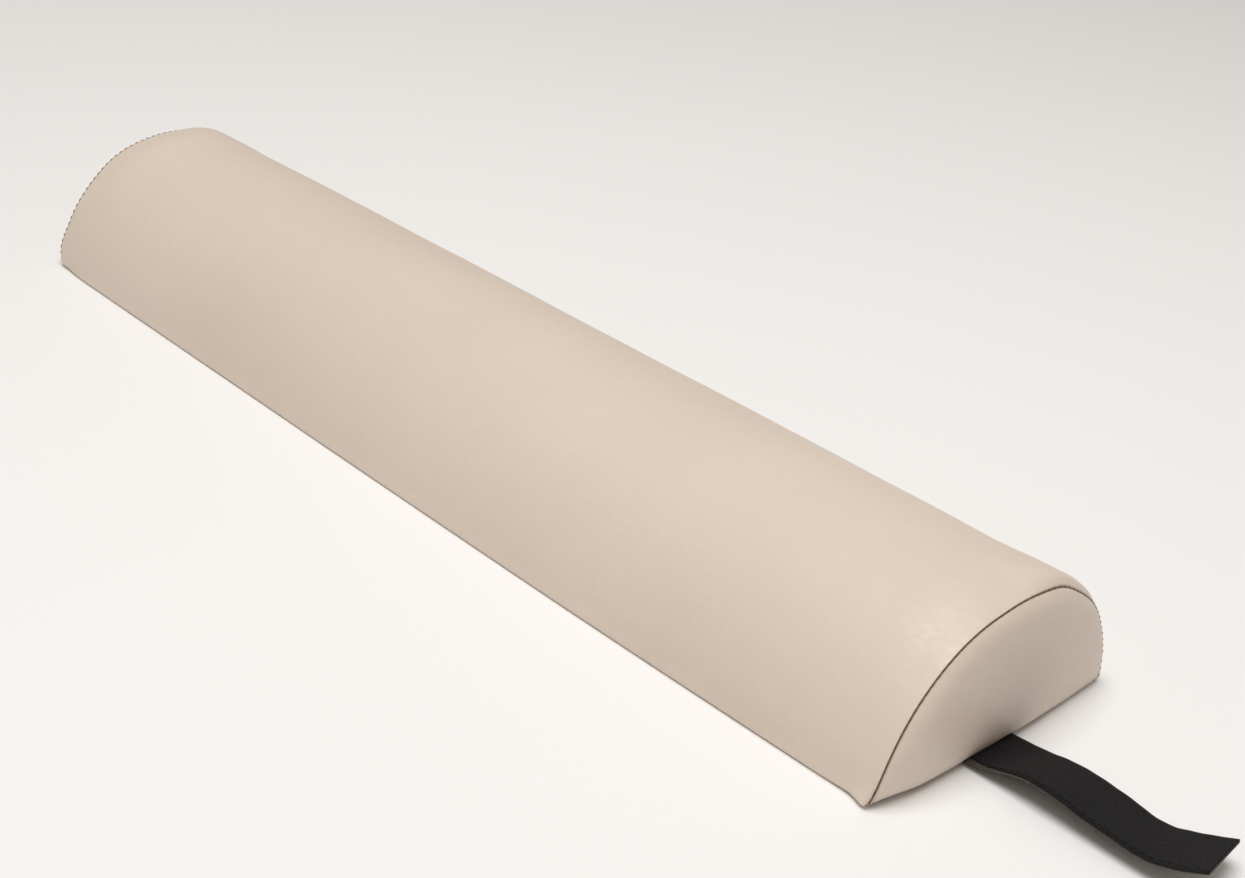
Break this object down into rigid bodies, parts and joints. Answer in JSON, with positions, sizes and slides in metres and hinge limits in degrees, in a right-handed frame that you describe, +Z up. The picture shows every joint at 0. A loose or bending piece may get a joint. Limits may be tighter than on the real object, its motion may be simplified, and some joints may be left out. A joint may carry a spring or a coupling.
{
  "type": "bolster pillow",
  "caption": "Half-round foam bolster in a smooth sewn cover with D-shaped end panels, a zip along the back lower edge and a hook-and-loop strap at one end.",
  "frame": {"origin": "centre of the flat base, midway between the two end seams", "axes": "+X along the bolster towards the end with the strap, -Y the front, +Y the side with the zip, +Z up from the base"},
  "size_m": [0.744, 0.1541, 0.0762],
  "materials": {
    "cover_vinyl": "satin",
    "cover_thread": "matte",
    "foam": "matte",
    "loop_tape": "matte",
    "hook_tape": "matte",
    "strap_thread": "matte",
    "zip_tape": "matte",
    "zip_coil": "satin",
    "zip_metal": "satin"
  },
  "bodies": {
    "bolster": {"cover_wrap": "cover_vinyl", "end_panel_strap_side": "cover_vinyl", "end_panel_plain": "cover_vinyl", "end_seam_thread_strap_side": "cover_thread", "end_seam_thread_plain": "cover_thread", "foam_core": "foam", "strap_sewn_end": "loop_tape", "strap_tack_thread": "strap_thread", "zip_tape_upper": "zip_tape", "zip_tape_lower": "zip_tape", "zip_coil_upper": "zip_coil", "zip_coil_lower": "zip_coil", "zip_seam_thread_upper": "cover_thread", "zip_seam_thread_lower": "cover_thread", "zip_end_stop_closed": "zip_metal", "zip_end_stop_open": "zip_metal"},
    "strap": {"strap_loop_tape": "loop_tape", "strap_hook_tape": "hook_tape", "strap_edge_thread": "strap_thread"},
    "slider": {"zip_slider": "zip_metal"},
    "pull_tab": {"zip_pull_tab": "zip_metal"}
  },
  "joints": [
    {"name": "strap_swing", "type": "hinge", "parent": "bolster", "child": "strap", "pos_m": [0.3255, -0.005, 0.0025], "axis": [0, -1, 0], "range_deg": [-90, 75]},
    {"name": "zip_slide", "type": "slide", "parent": "bolster", "child": "slider", "axis": [-1, 0, 0], "range_m": [0, 0.54]},
    {"name": "tab_swing", "type": "hinge", "parent": "slider", "child": "pull_tab", "pos_m": [0.2695, 0.07603, 0.01421], "axis": [0, 0.1837, -0.983], "range_deg": [0, 170]}
  ]
}
